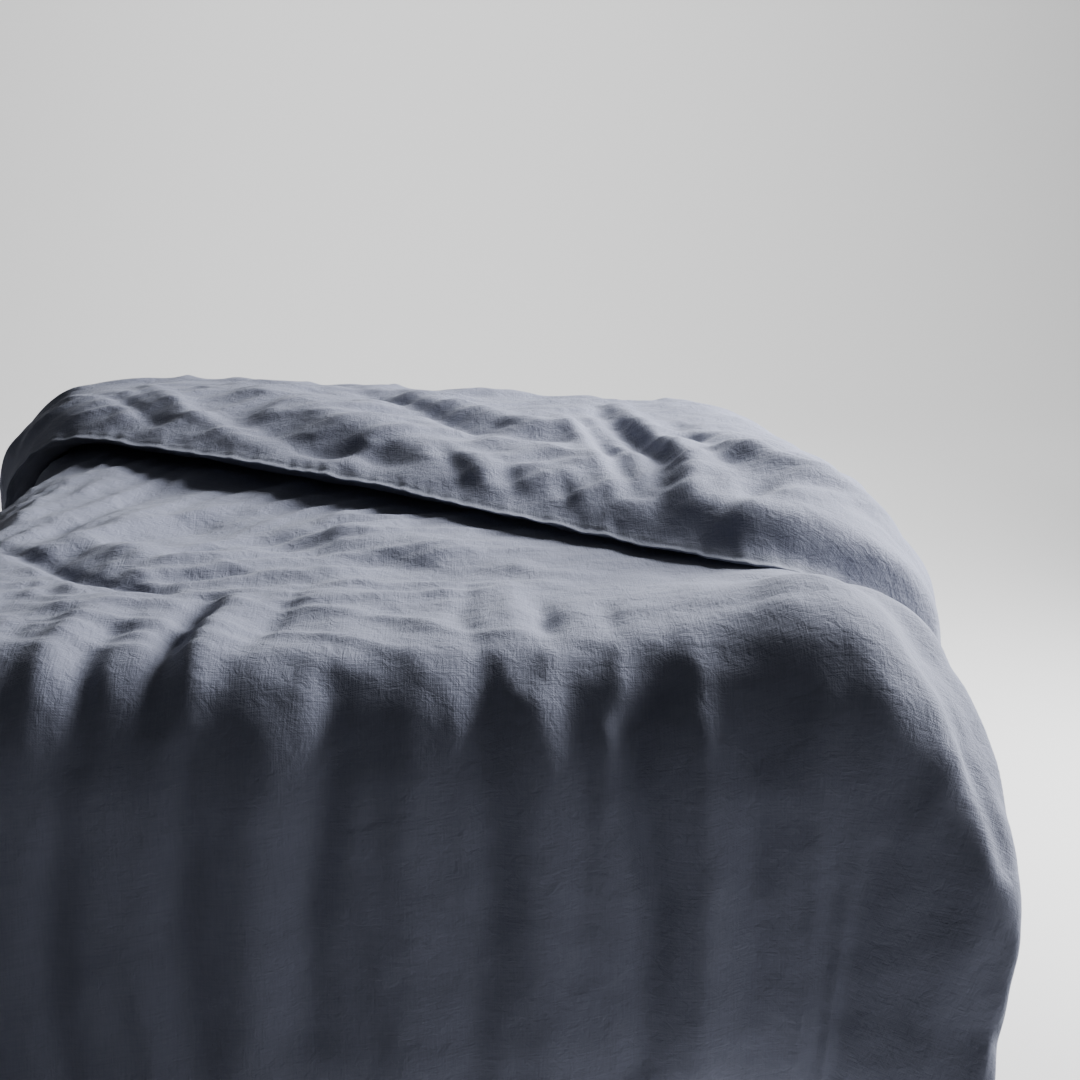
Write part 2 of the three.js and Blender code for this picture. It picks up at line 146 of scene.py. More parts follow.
# Folds that the hand has left in the cloth: height, half width, then points. On the spread part
# a point is (x, y) of the flat cloth. On the turned-back part it is (x, how far back from the
# crease).
SPREAD_FOLDS = [
    # broad fullness
    (0.012, 0.130, (0.50, 0.14), (0.49, -0.16), (0.47, -0.34)),
    (0.020, 0.120, (0.46, -0.38), (0.44, -0.48)),
    (0.074, 0.130, (0.47, -0.50), (0.58, -0.66), (0.62, -0.80)),
    (0.010, 0.110, (0.20, -0.42), (0.36, -0.44)),
    (0.010, 0.070, (-0.06, -0.10), (0.12, -0.22)),
    (-0.010, 0.040, (-0.20, -0.06), (0.00, -0.22), (0.14, -0.30)),
    # left side, drawn together
    (-0.013, 0.012, (-0.42, -0.12), (-0.34, -0.20), (-0.29, -0.26), (-0.20, -0.32)),
    (0.010, 0.026, (-0.33, -0.12), (-0.24, -0.20), (-0.16, -0.22)),
    (-0.012, 0.012, (-0.33, -0.20), (-0.26, -0.10), (-0.16, 0.00)),
    (0.008, 0.014, (-0.34, -0.16), (-0.28, -0.04), (-0.22, 0.10)),
    (-0.008, 0.011, (-0.36, -0.10), (-0.32, 0.02), (-0.27, 0.14)),
    (-0.008, 0.012, (-0.28, -0.28), (-0.16, -0.14), (-0.02, -0.08)),
    (0.007, 0.014, (-0.30, -0.26), (-0.16, -0.20), (-0.04, -0.16)),
    (-0.007, 0.012, (-0.24, -0.30), (-0.10, -0.24), (0.04, -0.22)),
    (-0.016, 0.013, (-0.150, -0.34), (-0.165, -0.44), (-0.170, -0.58)),
    (0.010, 0.018, (-0.125, -0.36), (-0.135, -0.46), (-0.140, -0.58)),
    (-0.009, 0.011, (-0.215, -0.40), (-0.235, -0.50), (-0.230, -0.62)),
    (0.008, 0.016, (-0.250, -0.36), (-0.270, -0.48), (-0.275, -0.60)),
    (-0.006, 0.010, (-0.06, -0.30), (-0.08, -0.40), (-0.10, -0.50)),
    # middle
    (-0.008, 0.009, (0.165, -0.37), (0.170, -0.50)),
    (-0.005, 0.010, (0.10, -0.30), (0.09, -0.42), (0.11, -0.52)),
    (-0.005, 0.010, (0.22, -0.40), (0.23, -0.50)),
    (0.005, 0.014, (0.135, -0.32), (0.140, -0.50)),
    # foot drop
    (-0.015, 0.018, (-0.015, -0.55), (-0.020, -0.62), (-0.045, -0.76), (-0.040, -0.86)),
    (0.012, 0.028, (-0.070, -0.56), (-0.085, -0.70), (-0.095, -0.90)),
    (-0.010, 0.016, (-0.140, -0.62), (-0.150, -0.76), (-0.130, -0.95)),
    (-0.010, 0.016, (-0.245, -0.62), (-0.260, -0.80), (-0.250, -1.00)),
    (0.010, 0.024, (0.045, -0.58), (0.040, -0.72), (0.050, -0.88)),
    (-0.011, 0.015, (0.110, -0.54), (0.105, -0.62), (0.115, -0.72), (0.100, -0.90)),
    (0.009, 0.022, (0.155, -0.58), (0.150, -0.74), (0.160, -0.92)),
    (-0.007, 0.012, (0.185, -0.57), (0.195, -0.66), (0.190, -0.76)),
    (-0.018, 0.014,
     (0.265, -0.555), (0.238, -0.585), (0.238, -0.64), (0.255, -0.74), (0.245, -0.90)),
    (0.016, 0.026, (0.285, -0.60), (0.300, -0.72), (0.290, -0.90)),
    (-0.009, 0.015, (0.330, -0.58), (0.340, -0.68), (0.335, -0.84)),
    (0.008, 0.024, (0.385, -0.60), (0.395, -0.74), (0.390, -0.90)),
    (-0.008, 0.018, (0.450, -0.62), (0.465, -0.74), (0.470, -0.90)),
    # right shoulder
    (-0.008, 0.014, (0.40, -0.36), (0.47, -0.48), (0.56, -0.60)),
    (-0.012, 0.012, (0.46, -0.50), (0.50, -0.56), (0.57, -0.66)),
    (0.008, 0.020, (0.44, -0.38), (0.52, -0.50), (0.60, -0.62)),
    (-0.006, 0.014, (0.52, -0.10), (0.56, -0.26), (0.60, -0.42)),
    (-0.008, 0.018, (0.54, 0.10), (0.60, -0.05), (0.66, -0.15)),
    (-0.012, 0.022, (0.60, -0.60), (0.64, -0.70), (0.68, -0.80)),
    # left-hand drop
    (-0.012, 0.020, (-0.46, 0.30), (-0.56, 0.22), (-0.68, 0.20)),
    (-0.012, 0.020, (-0.46, 0.04), (-0.58, 0.00), (-0.68, -0.02)),
    (-0.012, 0.020, (-0.45, -0.24), (-0.56, -0.26), (-0.68, -0.22)),
    (-0.014, 0.022, (-0.44, -0.56), (-0.54, -0.66), (-0.66, -0.76)),
    (0.012, 0.030, (-0.50, -0.52), (-0.60, -0.60), (-0.68, -0.66)),
]

TURNED_FOLDS = [
    # fullness over the crest and the right shoulder
    (0.009, 0.120, (-0.42, 0.10), (-0.10, 0.10), (0.24, 0.14)),
    (0.043, 0.130, (0.53, 0.20), (0.53, 0.40), (0.52, 0.66)),
    (0.012, 0.050, (-0.19, 0.10), (-0.06, 0.26), (0.08, 0.38)),
    (-0.014, 0.040, (-0.24, 0.24), (-0.10, 0.34), (0.06, 0.42)),
    (-0.008, 0.030, (-0.02, 0.12), (0.10, 0.24), (0.22, 0.30)),
    (0.008, 0.026, (0.04, 0.10), (0.16, 0.22), (0.28, 0.26)),
    (-0.006, 0.016, (-0.06, 0.06), (0.04, 0.16), (0.12, 0.30)),
    (0.008, 0.020, (-0.34, 0.10), (-0.28, 0.22), (-0.20, 0.30)),
    (-0.008, 0.014, (-0.40, 0.14), (-0.34, 0.22), (-0.30, 0.27)),
    # steep creases above the corner
    (-0.012, 0.014, (0.265, 0.08), (0.290, 0.24), (0.318, 0.38), (0.300, 0.54)),
    (0.010, 0.015, (0.295, 0.08), (0.322, 0.24), (0.350, 0.38), (0.335, 0.54)),
    (-0.009, 0.011, (0.240, 0.18), (0.262, 0.32), (0.282, 0.50)),
    (0.006, 0.012, (0.215, 0.16), (0.240, 0.32), (0.256, 0.50)),
    (-0.010, 0.013, (0.350, 0.16), (0.382, 0.34), (0.400, 0.54)),
    (0.012, 0.016, (0.365, 0.30), (0.43, 0.42), (0.50, 0.50)),
    (-0.012, 0.014, (0.400, 0.30), (0.450, 0.40), (0.510, 0.46)),
    (-0.010, 0.012, (0.420, 0.44), (0.400, 0.50), (0.370, 0.56)),
    (0.008, 0.014, (0.450, 0.20), (0.500, 0.32), (0.560, 0.42)),
    (-0.010, 0.012, (0.480, 0.18), (0.530, 0.30), (0.580, 0.38)),
    (-0.006, 0.010, (0.140, 0.40), (0.150, 0.48), (0.155, 0.53)),
    (-0.006, 0.010, (0.060, 0.36), (0.085, 0.42), (0.090, 0.50)),
    (0.006, 0.012, (0.110, 0.40), (0.120, 0.50)),
    (-0.006, 0.009, (0.200, 0.44), (0.215, 0.54)),
]


def fold_relief(folds, a, b):
    """Height that the laid folds give at each point (a, b)."""
    height = np.zeros_like(a)
    for rise, half_width, *points in folds:
        nearest = np.full_like(a, 1e9)
        along = np.zeros_like(a)
        for i, ((ax, ay), (bx, by)) in enumerate(zip(points, points[1:])):
            length = (bx - ax) ** 2 + (by - ay) ** 2
            t = np.clip(((a - ax) * (bx - ax) + (b - ay) * (by - ay)) / length, 0, 1)
            gone = np.hypot(a - ax - t * (bx - ax), b - ay - t * (by - ay))
            along = np.where(gone < nearest, (i + t) / (len(points) - 1), along)
            nearest = np.minimum(nearest, gone)
        strength = 0.45 + 0.55 * np.sin(np.pi * np.clip(along, 0.02, 0.98))
        height += rise * strength * np.exp(-(nearest / half_width) ** 2)
    return height


GATHERED_AT = (-0.52, -0.36)  # the hand drew the cloth together here, so creases fan out from it


def noise_at(*columns):
    return np.array([noise.noise(Vector(p)) for p in zip(*[np.ravel(c) for c in columns])])


def ridged(values, sharp):
    """Narrow crests where values pass through zero, the more so the larger sharp is."""
    return np.clip(1 - np.abs(values) * sharp, 0, 1) ** 2


def small_creases(x, y, back, turned):
    """Height of the many small creases: fanning out on the left, slanting on the turned-back part,
    upright on the foot drop, and hardly any on the right."""
    away = np.hypot(x - GATHERED_AT[0], y - GATHERED_AT[1])
    angle = np.arctan2(y - GATHERED_AT[1], x - GATHERED_AT[0])
    flat = np.zeros_like(x)
    fan = ridged(noise_at(angle * 13, away * 4.5, flat + 1.7), 3.2)
    fine_fan = ridged(noise_at(angle * 22, away * 8, flat + 5.1), 3.0)
    cross = noise_at(x * 13, y * 9, flat + 8.3)
    drop = smooth((FOOT_BEND + 0.03 - y) / 0.10)
    left = 1 - smooth((x + 0.02) / 0.34)
    on_top = (0.0075 * fan + 0.0024 * fine_fan) * left + 0.0050 * cross * (0.35 + 0.65 * left)
    hanging = 0.0050 * ridged(noise_at(x * 15, y * 2.2, flat + 3.3), 2.6)
    spread = on_top * (1 - drop) + hanging * drop
    slant, over = 0.86 * x - 0.50 * back, 0.50 * x + 0.86 * back
    sweep = ridged(noise_at(slant * 4.5, over * 19, flat + 2.9), 3.0)
    fine_sweep = ridged(noise_at(slant * 9 + over * 5, over * 34 - slant * 6, flat + 6.6), 2.8)
    patches = noise_at(x * 12, back * 12, flat + 4.4)
    flap = 0.0070 * sweep + 0.0040 * fine_sweep + 0.0040 * patches - 0.0025
    return np.where(turned, flap, spread)


# The lines of cloth, across and along, on which the whole duvet is laid out. Along, a line's place
# is q: hem band, spread part, fold, turned-back part and head edge each take up 1.
HEM_BAND, SPREAD, FOLD, TURNED, HEAD_EDGE = range(5)
SIDE_LINES = np.array([-0.023, -0.016, -0.009, -0.005, 0.0, 0.005])
CORE_LINES = np.linspace(0.011, COVER_WIDTH - 0.011, 141)
ACROSS = np.concatenate([SIDE_LINES, CORE_LINES, (COVER_WIDTH - SIDE_LINES)[::-1]]) - HALF_WIDTH
ALONG = np.concatenate([
    np.linspace(0, 0.9, 7),
    [1.0, 1.002, 1.005],
    np.linspace(1.01, 1.99, 146),
    np.linspace(2.0, 3.0, 17),
    np.linspace(3.02, 3.97, 50),
    [3.985, 4.0, 4.2, 4.39, 4.7, 5.0],
])


def edge_half(inside, flange):
    """Half the thickness at a distance inside the panels' edge: padding, wedge, sewn flange."""
    share = EDGE_LOFT + (1 - EDGE_LOFT) * np.sin(np.clip(inside / EDGE_TAPER, 0, 1) * np.pi / 2)
    full = LOFT / 2 * share
    wedge = np.sqrt(np.clip(1 + inside / EDGE_WEDGE, 0, 1))
    return np.where(inside >= 0, full, flange + (LOFT / 2 * EDGE_LOFT - flange) * wedge)


def lay_out(u, v, side):
    """Place of each point of the cover's lower (0) or upper (1) panel. u and v run from 0 to 1."""
    x = np.interp(u, np.linspace(0, 1, len(ACROSS)), ACROSS)
    q = np.interp(v, np.linspace(0, 1, len(ALONG)), ALONG)
    clamped = np.clip(x, -HALF_WIDTH, HALF_WIDTH)
    spread = crease_y(clamped) - foot_hem_y(clamped)
    reach = turned_reach(clamped)
    band = np.clip(q, 0, 1)
    from_foot = np.clip(q - SPREAD, 0, 1) * spread
    angle = np.clip(q - FOLD, 0, 1) * math.pi
    past_head = np.clip(q - HEAD_EDGE, 0, 1) * (EDGE_WEDGE + EDGE_FLANGE)
    back = np.clip(q - TURNED, 0, 1) * reach + past_head
    to_foot = from_foot + (band - 1) * PLACKET_WIDTH + angle / math.pi * FOLD_LENGTH + back
    to_head = reach - back + (1 - angle / math.pi) * FOLD_LENGTH + spread - from_foot
    inside = np.minimum(np.minimum(HALF_WIDTH - np.abs(x), to_head), to_foot)
    half = edge_half(inside, np.where(q < SPREAD, HEM_HALF, FLANGE_HALF))
    sign = 1 if side else -1
    depth = LOFT / 2 + sign * half
    padded = smooth(inside / 0.05)
    flat_y = foot_hem_y(clamped) + from_foot + (band - 1) * PLACKET_WIDTH
    radius = FOLD_HEIGHT - depth
    y = np.where(q < FOLD, flat_y, crease_y(clamped) + radius * np.sin(angle) - back)
    height = FOLD_HEIGHT - radius * np.cos(angle)
    # the turned-back part lies on the spread part and takes its fullness up
    at_y = np.where(q < FOLD, flat_y, crease_y(clamped) - back)
    within = at_y - crease_y(clamped) + reach
    lift = fold_relief(SPREAD_FOLDS, x, at_y) * padded
    pressed_flat = 1 - 0.9 * smooth((within - 0.03) / 0.13)
    lift *= np.where(q < FOLD, 1, smooth((q - TURNED) * 8)) * pressed_flat
    lift *= np.where((q < FOLD) & (side == 0), 0.25, 1)
    turned = smooth((q - FOLD) * 1.5)
    outer = (side == 1) if np.ndim(side) else np.full(x.shape, side == 1)
    outer = np.where(q > FOLD, ~outer, outer)
    small = small_creases(x, flat_y, back, q > FOLD) * smooth(inside / 0.05)
    uncovered = 1 - 0.8 * smooth((within - 0.01) / 0.05) * (q < FOLD)
    lift = lift + small * outer * uncovered * np.where(q > FOLD, turned, 1)
    relief = fold_relief(TURNED_FOLDS, x, back) * turned * (0.15 + 0.85 * padded)
    lying = smooth((x + 0.10) / 0.36) * smooth((back - reach + 0.22) / 0.22) * (q > TURNED)
    lift = lift + relief * np.where(side == 1, 0.35, 1) - LYING_DEPTH * lying
    laid_x = np.where(q > TURNED, draw_up(x, back), x)
    return drape(laid_x, y, height + lift)


def padded_sheet(columns, rows, place):
    """A closed padded sheet: two grids, joined round their rim. place maps (u, v, side) to points.
    Each point keeps its u, v and side, for cutting the sheet into its parts later."""
    shell = bmesh.new()
    keys = [shell.verts.layers.float.new(name) for name in ("u", "v", "side")]
    for side in (0, 1):
        made = bmesh.ops.create_grid(shell, x_segments=columns, y_segments=rows, size=0.5)["verts"]
        flat = np.array([v.co for v in made]) + 0.5
        for vertex, (u, v, _), point in zip(made, flat, place(flat[:, 0], flat[:, 1], side)):
            vertex.co = point
            vertex[keys[0]], vertex[keys[1]], vertex[keys[2]] = u, v, side
    rim = [e for e in shell.edges if e.is_boundary]
    bmesh.ops.bridge_loops(shell, edges=rim)
    bmesh.ops.recalc_face_normals(shell, faces=shell.faces)
    return shell


def as_object(name, shell):
    """The finished mesh as a smooth-shaded object at the origin."""
    mesh = bpy.data.meshes.new(name)
    shell.to_mesh(mesh)
    shell.free()
    mesh.polygons.foreach_set("use_smooth", [True] * len(mesh.polygons))
    made = bpy.data.objects.new(name, mesh)
    bpy.context.scene.collection.objects.link(made)
    return made


def read_points(mesh):
    points = np.empty(len(mesh.vertices) * 3)
    mesh.vertices.foreach_get("co", points)
    return points.reshape(-1, 3)


def read_key(mesh, name):
    values = np.empty(len(mesh.vertices))
    mesh.attributes[name].data.foreach_get("value", values)
    return values


def sheet_place(mesh):
    """(x, q, side) of each point of the laid-out sheet: across, along by part, and which panel."""
    x = np.interp(read_key(mesh, "u"), np.linspace(0, 1, len(ACROSS)), ACROSS)
    q = np.interp(read_key(mesh, "v"), np.linspace(0, 1, len(ALONG)), ALONG)
    return x, q, read_key(mesh, "side")


# Crumpling: the cloth is stirred a little, the same way each time, and then grows while its old
# place holds it softly, so it creases.
STIR = 0.0022
STIR_SEED = 7
SIM_FRAMES = 10
MOVE_CAP = 0.014
LEAST_GROWTH = 0.001
MOST_GROWTH = 0.115


def growth_map(x, q, side):
    """Share of the full growth: most where the cloth is drawn together on the left."""
    clamped = np.clip(x, -HALF_WIDTH, HALF_WIDTH)
    spread = crease_y(clamped) - foot_hem_y(clamped)
    y = foot_hem_y(clamped) + np.clip(q - SPREAD, 0, 1) * spread
    drawn = np.exp(-((x + 0.28) / 0.24) ** 2 - ((y + 0.10) / 0.34) ** 2)
    middle = np.exp(-((x - 0.02) / 0.26) ** 2 - ((y + 0.10) / 0.24) ** 2)
    drop = smooth((FOOT_BEND + 0.02 - y) / 0.08)
    top = np.clip(0.14 + 0.72 * drawn + 0.34 * middle, 0, 1) * (1 - drop) + 0.10 * drop
    back = np.clip(q - TURNED, 0, 1) * turned_reach(clamped)
    creased = np.exp(-((x - 0.32) / 0.10) ** 2 - ((back - 0.34) / 0.20) ** 2)
    turned = 0.50 + 0.40 * creased - 0.22 * smooth((x - 0.44) / 0.08)
    edge = smooth((np.abs(x) - HALF_WIDTH + 0.02) / 0.02) + smooth((q - 3.97) / 0.03)
    share = np.where(q > FOLD, turned, np.where(side > 0.5, top, 0.2))
    return np.clip(np.maximum(share, 0.75 * edge), 0, 1)


def add_group(obj, name, weights):
    """A vertex group, with weights in steps of 0.02."""
    group = obj.vertex_groups.new(name=name)
    steps = np.round(weights * 50)
    for step in np.unique(steps):
        group.add(np.nonzero(steps == step)[0].tolist(), float(step / 50), "REPLACE")


def crumple(obj):
    """Lets the cloth crease by itself, and keeps each point within MOVE_CAP of its place."""
    x, q, side = sheet_place(obj.data)
    rest = read_points(obj.data)
    noise.seed_set(STIR_SEED)
    stirred = rest + np.array([noise.noise_vector(Vector(p) * 26) for p in rest]) * STIR
    obj.data.vertices.foreach_set("co", stirred.ravel())
    add_group(obj, "held", np.full(len(rest), 0.5))
    add_group(obj, "growth", growth_map(x, q, side))
    cloth = obj.modifiers.new("cloth", "CLOTH")
    what = cloth.settings
    what.quality = 4
    what.mass = 0.15
    what.tension_stiffness = 20
    what.compression_stiffness = 20
    what.shear_stiffness = 8
    what.bending_stiffness = 2.5
    what.air_damping = 1
    what.vertex_group_shrink = "growth"
    what.shrink_min = -LEAST_GROWTH
    what.shrink_max = -MOST_GROWTH
    what.effector_weights.gravity = 0
    what.vertex_group_mass = "held"
    what.pin_stiffness = 0.2
    cloth.collision_settings.use_collision = False
    cloth.collision_settings.use_self_collision = False
    cloth.point_cache.frame_start = 1
    cloth.point_cache.frame_end = SIM_FRAMES + 1
    for step in range(1, SIM_FRAMES + 1):
        bpy.context.scene.frame_set(step)
    creased = read_points(obj.evaluated_get(bpy.context.evaluated_depsgraph_get()).data)
    move = creased - rest
    far = np.linalg.norm(move, axis=1)
    move *= (MOVE_CAP * np.tanh(far / MOVE_CAP) / np.maximum(far, 1e-9))[:, None]
    obj.modifiers.remove(cloth)
    bpy.context.scene.frame_set(1)
    obj.vertex_groups.clear()
    obj.data.vertices.foreach_set("co", (rest + move).ravel())
    obj.data.update()


def subdivide(obj):
    """Rounds the creases by one step of subdivision."""
    smoother = obj.modifiers.new("smooth", "SUBSURF")
    smoother.levels = smoother.render_levels = 1
    evaluated = obj.evaluated_get(bpy.context.evaluated_depsgraph_get())
    finer = bpy.data.meshes.new_from_object(evaluated)
    obj.modifiers.remove(smoother)
    obj.data = finer


PUCKER_HEIGHT = 0.0022


def pucker(obj):
    """Small puckers across the sewn edges, where the stitching has drawn the cloth together."""
    mesh = obj.data
    x, q, side = sheet_place(mesh)
    points = read_points(mesh)
    normals = np.array([v.vector for v in mesh.vertex_normals])
    in_side = smooth((np.abs(x) - HALF_WIDTH + 0.022) / 0.03)
    in_head = smooth((q - 3.955) / 0.05)
    down_side = points[:, 1] - points[:, 2]
    wave_side = np.array([noise.noise(Vector((n * 75, 3.1, 0.4))) for n in down_side])
    wave_head = np.array([noise.noise(Vector((n * 80, 7.7, 2.2))) for n in x])
    # both cloths of a sewn edge move the same way
    way = np.where(side > 0.5, 1, -1) * np.where((in_side > 0) | (in_head > 0), 1, 0)
    lift = (in_side * wave_side + in_head * wave_head) * PUCKER_HEIGHT * way
    mesh.vertices.foreach_set("co", (points + normals * lift[:, None]).ravel())
    mesh.update()


whole = as_object("whole duvet", padded_sheet(len(ACROSS) - 1, len(ALONG) - 1, lay_out))
crumple(whole)
subdivide(whole)
pucker(whole)

# The whole duvet is cut into its named pieces here. They keep its points and normals, so that no
# cut shows.
whole.data.attributes.new("whole_index", "INT", "POINT").data.foreach_set(
    "value", np.arange(len(whole.data.vertices), dtype=np.int32))
WHOLE = bmesh.new()
WHOLE.from_mesh(whole.data)
WHOLE_X, WHOLE_Q, WHOLE_SIDE = sheet_place(whole.data)
FACE_CORNERS = np.empty(len(whole.data.loops), dtype=np.int32)
whole.data.loops.foreach_get("vertex_index", FACE_CORNERS)
FACE_X, FACE_Q = [
    values[FACE_CORNERS].reshape(-1, 4).mean(axis=1) for values in (WHOLE_X, WHOLE_Q)]
WHOLE_NORMALS = np.array([v.vector for v in whole.data.vertex_normals])
MIDDLE = FLAT_HALF_WIDTH + 0.012  # the turned-back part is cut here, where it starts down the sides


def close_cuts(part):
    """Closes a cut part: joins each cut point of one panel to the same point of the other."""
    u, v, side = [part.verts.layers.float[name] for name in ("u", "v", "side")]
    cut = [e for e in part.edges if e.is_boundary]
    ends = {}
    for edge in cut:
        for vertex in edge.verts:
            if vertex[side] < 0.01:
                ends[(round(vertex[u], 4), round(vertex[v], 4))] = vertex
    for edge in cut:
        if not all(vertex[side] > 0.99 for vertex in edge.verts):
            continue
        a, b = edge.link_loops[0].vert, edge.link_loops[0].link_loop_next.vert
        under = [ends.get((round(w[u], 4), round(w[v], 4))) for w in (a, b)]
        if None not in under and under[0] is not under[1]:
            part.faces.new((b, a, under[0], under[1]))
    left = [e for e in part.edges if e.is_boundary]
    if left:
        bmesh.ops.holes_fill(part, edges=left, sides=0)


def cut_part(name, keep):
    """The part of the whole duvet whose faces pass keep(x, q), closed where it was cut."""
    part = WHOLE.copy()
    kept = keep(FACE_X, FACE_Q)
    dropped = [face for face, stays in zip(part.faces, kept) if not stays]
    index = part.verts.layers.int["whole_index"]
    bmesh.ops.delete(part, geom=dropped, context="FACES")
    close_cuts(part)
    came_from = np.array([v[index] for v in part.verts])
    made = as_object(name, part)
    made.data.normals_split_custom_set_from_vertices(WHOLE_NORMALS[came_from])
    lay_cloth_map(made.data, came_from)
    return made


def lay_cloth_map(mesh, came_from):
    """A UV map, in metres of the flat cloth."""
    x, q = WHOLE_X[came_from], WHOLE_Q[came_from]
    clamped = np.clip(x, -HALF_WIDTH, HALF_WIDTH)
    spread = crease_y(clamped) - foot_hem_y(clamped)
    reach = turned_reach(clamped)
    run = (np.clip(q, 0, 1) * PLACKET_WIDTH + np.clip(q - SPREAD, 0, 1) * spread
           + np.clip(q - FOLD, 0, 1) * FOLD_LENGTH + np.clip(q - TURNED, 0, 1) * reach
           + np.clip(q - HEAD_EDGE, 0, 1) * (EDGE_WEDGE + EDGE_FLANGE))
    corners = np.empty(len(mesh.loops), dtype=int)
    mesh.loops.foreach_get("vertex_index", corners)
    cloth_map = mesh.uv_layers.new(name="cloth")
    cloth_map.data.foreach_set("uv", np.stack([x, run], axis=-1)[corners].ravel())


def in_panels(x, q):
    return (abs(x) < HALF_WIDTH) & (SPREAD < q) & (q < HEAD_EDGE)


def lies_in(q, first, last):
    return (first < q) & (q < last)


spread_pad = cut_part("duvet_spread", lambda x, q: in_panels(x, q) & (q < FOLD))
fold_pad = cut_part("duvet_fold", lambda x, q: lies_in(q, FOLD, TURNED) & (abs(x) < MIDDLE))
turned_pad = cut_part(
    "duvet_turned_back", lambda x, q: lies_in(q, TURNED, HEAD_EDGE) & (abs(x) < MIDDLE))
side_pads = [
    cut_part(name, lambda x, q, way=way: in_panels(x, q) & (q > FOLD) & (way * x > MIDDLE))
    for name, way in (("turned_back_left_drop", -1), ("turned_back_right_drop", 1))]
foot_hem = cut_part("foot_hem", lambda x, q: q < SPREAD)
spread_edges = [
    cut_part(name, lambda x, q, way=way: lies_in(q, SPREAD, FOLD) & (way * x > HALF_WIDTH))
    for name, way in (("sewn_edge_left_long", -1), ("sewn_edge_right_long", 1))]
turned_edges = [
    cut_part(name, lambda x, q, way=way: lies_in(q, FOLD, HEAD_EDGE) & (way * x > HALF_WIDTH))
    for name, way in (("sewn_edge_left_short", -1), ("sewn_edge_right_short", 1))]
head_edge = cut_part("sewn_edge_head_middle", lambda x, q: (q > HEAD_EDGE) & (abs(x) < MIDDLE))
head_ends = [
    cut_part(name, lambda x, q, way=way: (q > HEAD_EDGE) & (way * x > MIDDLE))
    for name, way in (("sewn_edge_head_left", -1), ("sewn_edge_head_right", 1))]
WHOLE.free()
bpy.data.objects.remove(whole)


def sewn_label(name, y, width, length):
    """A satin label, caught in the left-hand edge and curling a little."""
    strip = bmesh.new()
    points = bmesh.ops.create_grid(strip, x_segments=12, y_segments=8, size=0.5)["verts"]
    for vertex in points:
        out, across = vertex.co.x + 0.5, vertex.co.y
        curl = 0.004 * out ** 2 + 0.0012 * math.sin(5 * out) * across
        x = -HALF_WIDTH - EDGE_WEDGE - 0.003 - length * out
        vertex.co = drape(np.array(x), np.array(y + width * across), LOFT / 2 - 0.0026 - curl)
    bmesh.ops.solidify(strip, geom=strip.faces[:], thickness=0.0005)
    bmesh.ops.recalc_face_normals(strip, faces=strip.faces)
    return as_object(name, strip)


def button_thread(name, node):
    """Two stitches over a button's four holes."""
    low, high = [Vector(corner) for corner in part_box(node)]
    centre, length = (low + high) / 2, 0.0052
    stitches = bmesh.new()
    for way in (-1, 1):
        made = bmesh.ops.create_uvsphere(stitches, u_segments=10, v_segments=7, radius=0.5)["verts"]
        bmesh.ops.scale(stitches, vec=(length, 0.0011, 0.0010), verts=made)
        bmesh.ops.translate(stitches, vec=(0, 0, 0.0015 * way), verts=made)
    bmesh.ops.translate(stitches, vec=(centre.x, high.y, centre.z), verts=stitches.verts)
    return as_object(name, stitches)


LABEL_Y, LABEL_WIDTH, LABEL_LENGTH = 0.015, 0.030, 0.040
care_label = sewn_label("care_label_satin", LABEL_Y, LABEL_WIDTH, LABEL_LENGTH)
threads = [button_thread(f"button_thread_{i}", f"button_{i}") for i in range(1, 6)]


def nodes_named(*starts, ends=("",), without=()):
    """The frame's solids whose names start, and end, with one of these."""
    return [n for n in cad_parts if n.startswith(starts) and n.endswith(ends)
            and not any(w in n for w in without)]


# Which moving part each piece goes with, and which of the frame's solids it stands for.
PANELS = ("cover_face", "cover_reverse", "insert_upper_shell", "insert_lower_shell")

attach(spread_pad, "spread_part")
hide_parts(*nodes_named(*PANELS, "fill_row", "corner_tie_foot",
                                     without=("at_fold", "turned_back")))
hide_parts(*nodes_named(*PANELS, "fill_at_fold", ends=("at_fold", "1", "2", "3", "4"),
                                   without=("turned_back",)))
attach(turned_pad, "turned_back_part")
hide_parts(*nodes_named(*PANELS, ends=("turned_back",)),
            "fill_turned_back_column_2", "fill_turned_back_column_3")
for pad, column, hand in zip(side_pads, "14", ("left", "right")):
    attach(pad, "turned_back_part")
    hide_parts(f"fill_turned_back_column_{column}", f"corner_tie_head_{hand}")
for edge, hand in zip(spread_edges, ("left", "right")):
    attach(edge, "spread_part")
    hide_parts(f"sewn_edge_{hand}")
for edge, hand in zip(turned_edges, ("left", "right")):
    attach(edge, "turned_back_part")
    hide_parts(f"sewn_edge_{hand}_turned_back")
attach(head_edge, "turned_back_part")
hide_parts("sewn_edge_head")
for edge in head_ends:
    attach(edge, "turned_back_part")
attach(foot_hem, "spread_part")
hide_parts("foot_hem_face_side", "foot_hem_reverse_side")
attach(care_label, "spread_part")
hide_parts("care_label")
for thread in threads:
    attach(thread, "spread_part")
PADS = [spread_pad, fold_pad, turned_pad, *side_pads]
EDGES = [foot_hem, head_edge, *spread_edges, *turned_edges, *head_ends]


# Materials. Colours are sRGB, as a dyer's shade card gives them.
def linear(shade):
    parts = [int(shade[i:i + 2], 16) / 255 for i in (1, 3, 5)]
    return tuple(c / 12.92 if c <= 0.04045 else ((c + 0.055) / 1.055) ** 2.4 for c in parts) + (1,)


